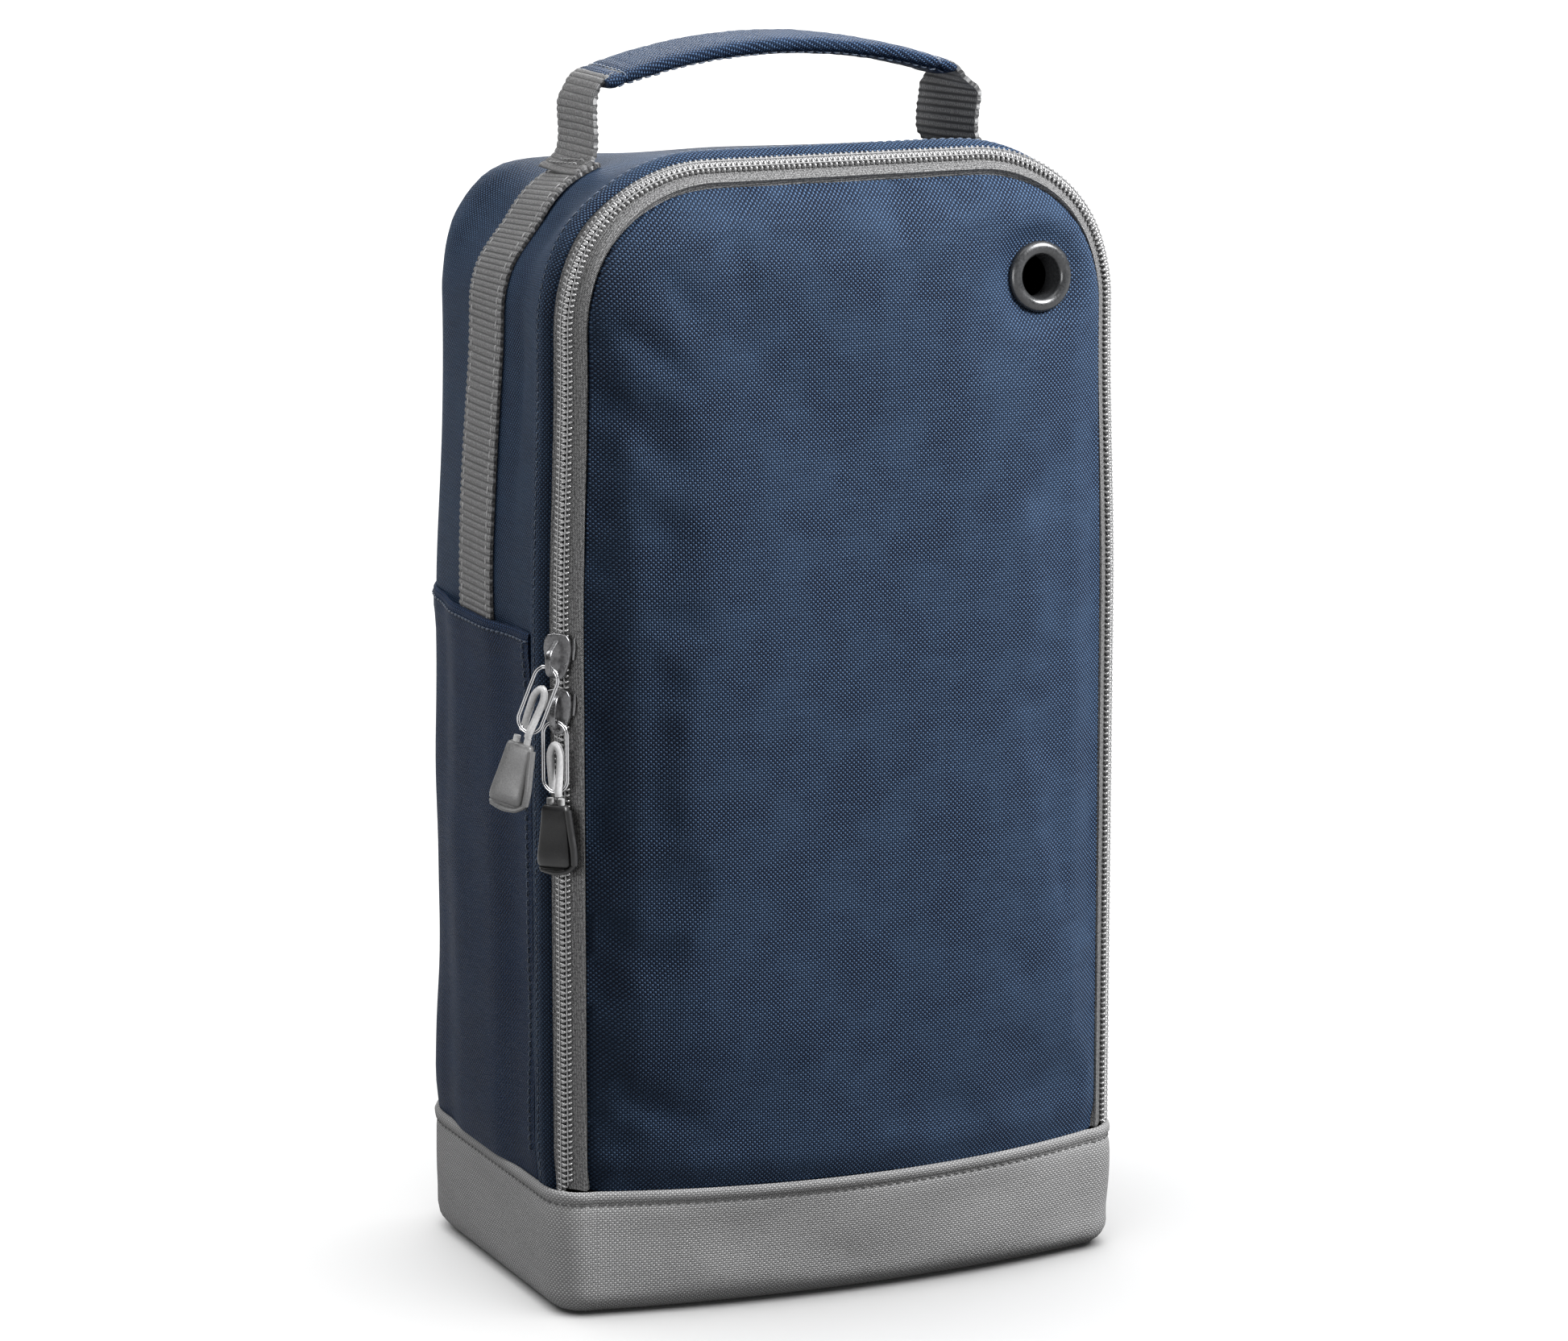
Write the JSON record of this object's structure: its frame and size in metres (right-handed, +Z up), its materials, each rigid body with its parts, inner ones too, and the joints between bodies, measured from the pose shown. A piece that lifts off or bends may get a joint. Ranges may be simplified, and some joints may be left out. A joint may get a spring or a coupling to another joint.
{
  "type": "golf shoe bag",
  "caption": "Tall zipped carry bag for golf shoes, with a padded fold-down front, side slip pockets, a vent eyelet, a stiffened base band and a padded top handle.",
  "frame": {"origin": "middle of the bag's underside, on the floor, with the body centred on it across its width and the pulls left out", "axes": "+Z up, +X to the right of the bag as its front is looked at, and the zipped front faces -Y"},
  "size_m": [0.2016, 0.1383, 0.363],
  "materials": {
    "navy_fabric": "matte woven polyester",
    "grey_fabric": "matte woven polyester",
    "lining_fabric": "coated thin polyester",
    "grey_webbing": "ribbed woven webbing",
    "zip_tape": "fine woven tape",
    "zip_coil": "satin nylon coil",
    "foam": "soft open foam",
    "board": "matte",
    "gunmetal": "glossy dark lacquer",
    "slider_metal": "satin dark lacquer",
    "ring_steel": "polished wire",
    "pull_cord": "braided cord",
    "tag_plastic": "satin moulded"
  },
  "bodies": {
    "bag": {"gusset": "navy_fabric", "gusset_lining": "lining_fabric", "back_panel": "navy_fabric", "back_foam": "foam", "back_lining": "lining_fabric", "base_band": "grey_fabric", "base_panel": "grey_fabric", "base_board": "board", "base_lining": "lining_fabric", "pocket_left": "navy_fabric", "pocket_right": "navy_fabric", "webbing_left": "grey_webbing", "webbing_right": "grey_webbing", "zip_tape_body": "zip_tape", "zip_coil_body": "zip_coil"},
    "door": {"front_panel": "navy_fabric", "front_foam": "foam", "front_lining": "lining_fabric", "zip_tape_door": "zip_tape", "zip_coil_door": "zip_coil", "eyelet": "gunmetal", "eyelet_washer": "gunmetal"},
    "handle": {"handle_webbing": "grey_webbing", "handle_sleeve": "navy_fabric", "handle_core": "foam"},
    "upper_slider": {"slider_upper": "slider_metal"},
    "upper_ring": {"ring_upper": "ring_steel", "cord_upper": "pull_cord"},
    "upper_tag": {"tag_upper": "tag_plastic"},
    "lower_slider": {"slider_lower": "slider_metal"},
    "lower_ring": {"ring_lower": "ring_steel", "cord_lower": "pull_cord"},
    "lower_tag": {"tag_lower": "tag_plastic"}
  },
  "joints": [
    {"name": "door_hinge", "type": "hinge", "parent": "bag", "child": "door", "pos_m": [0, -0.0785, 0.0378], "axis": [1, 0, 0], "range_deg": [0, 95]},
    {"name": "handle_fold", "type": "hinge", "parent": "bag", "child": "handle", "pos_m": [0, 0, 0.3445], "axis": [1, 0, 0], "range_deg": [-60, 60]},
    {"name": "upper_slider_travel", "type": "slide", "parent": "door", "child": "upper_slider", "axis": [0, 0, 1], "range_m": [0, 0.085]},
    {"name": "upper_ring_swing", "type": "hinge", "parent": "upper_slider", "child": "upper_ring", "pos_m": [-0.09226, -0.05966, 0.1935], "axis": [-0.7071, 0.7071, 0], "range_deg": [0, 110]},
    {"name": "upper_tag_swing", "type": "hinge", "parent": "upper_ring", "child": "upper_tag", "pos_m": [-0.09893, -0.05298, 0.17014], "axis": [-0.6861, 0.6861, 0.2419], "range_deg": [0, 100]},
    {"name": "lower_slider_travel", "type": "slide", "parent": "door", "child": "lower_slider", "axis": [0, 0, 1], "range_m": [-0.095, 0]},
    {"name": "lower_ring_swing", "type": "hinge", "parent": "lower_slider", "child": "lower_ring", "pos_m": [-0.09028, -0.05768, 0.1775], "axis": [-0.7071, 0.7071, 0], "range_deg": [0, 30]},
    {"name": "lower_tag_swing", "type": "hinge", "parent": "lower_ring", "child": "lower_tag", "pos_m": [-0.09028, -0.05768, 0.1523], "axis": [-0.7071, 0.7071, 0], "range_deg": [0, 100]}
  ]
}
